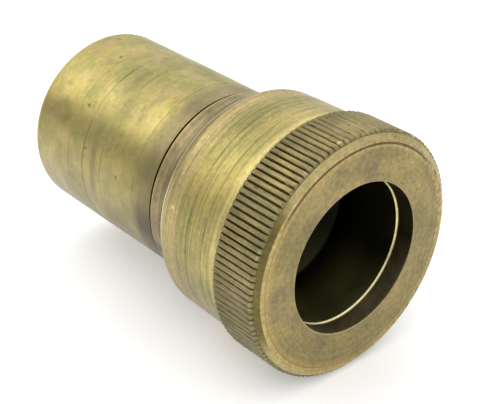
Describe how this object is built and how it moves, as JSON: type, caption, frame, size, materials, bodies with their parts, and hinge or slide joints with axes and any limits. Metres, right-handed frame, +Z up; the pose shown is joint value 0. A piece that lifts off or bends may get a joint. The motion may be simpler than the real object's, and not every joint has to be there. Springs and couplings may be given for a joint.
{
  "type": "fire hose nozzle",
  "caption": "Brass twist-action fire hose nozzle: plain barrel with an inlet thread and a knurled head that turns forward to open a recessed valve.",
  "frame": {"origin": "centre of the inlet mouth, at the rear end of the barrel", "axes": "+X along the nozzle's axis from the inlet to the outlet, +Z up"},
  "size_m": [0.072, 0.046, 0.046],
  "materials": {
    "barrel_brass": "turned, tarnished and worn",
    "head_brass": "turned and brushed, lightly tarnished",
    "knurl_brass": "knurled, dark in the valleys",
    "tube_brass": "bored, dark with tarnish, with a bright lip",
    "valve_brass": "turned",
    "stainless": "stamped and brushed",
    "black_rubber": "moulded",
    "red_fibre": "vulcanised fibre",
    "white_ptfe": "cut sheet"
  },
  "bodies": {
    "barrel": {"inlet_barrel": "barrel_brass", "hose_washer": "black_rubber", "strainer_ring": "stainless", "strainer_disc": "stainless", "neck_gasket": "red_fibre", "neck_tube": "valve_brass", "bumper_ring": "black_rubber", "stop_ring": "stainless", "spider": "valve_brass", "valve_stem": "stainless", "lock_washer": "stainless", "stem_nut": "stainless", "valve_head": "valve_brass", "valve_seal": "black_rubber", "cap_nut": "valve_brass"},
    "flow_tube": {"flow_tube": "tube_brass", "tube_o_ring": "black_rubber", "guide_key": "stainless", "rear_thrust_washer": "white_ptfe", "front_thrust_washer": "white_ptfe"},
    "head": {"head_sleeve": "head_brass", "knurled_ring": "knurl_brass"}
  },
  "joints": [
    {"name": "valve_slide", "type": "slide", "parent": "barrel", "child": "flow_tube", "axis": [1, 0, 0], "range_m": [0, 0.0045]},
    {"name": "head_turn", "type": "hinge", "parent": "flow_tube", "child": "head", "pos_m": [0.055, 0, 0], "axis": [1, 0, 0], "range_deg": [0, 270]}
  ],
  "couplings": [
    {"joint": "valve_slide", "follows": "head_turn", "m_per_rad": 0.00095493}
  ]
}
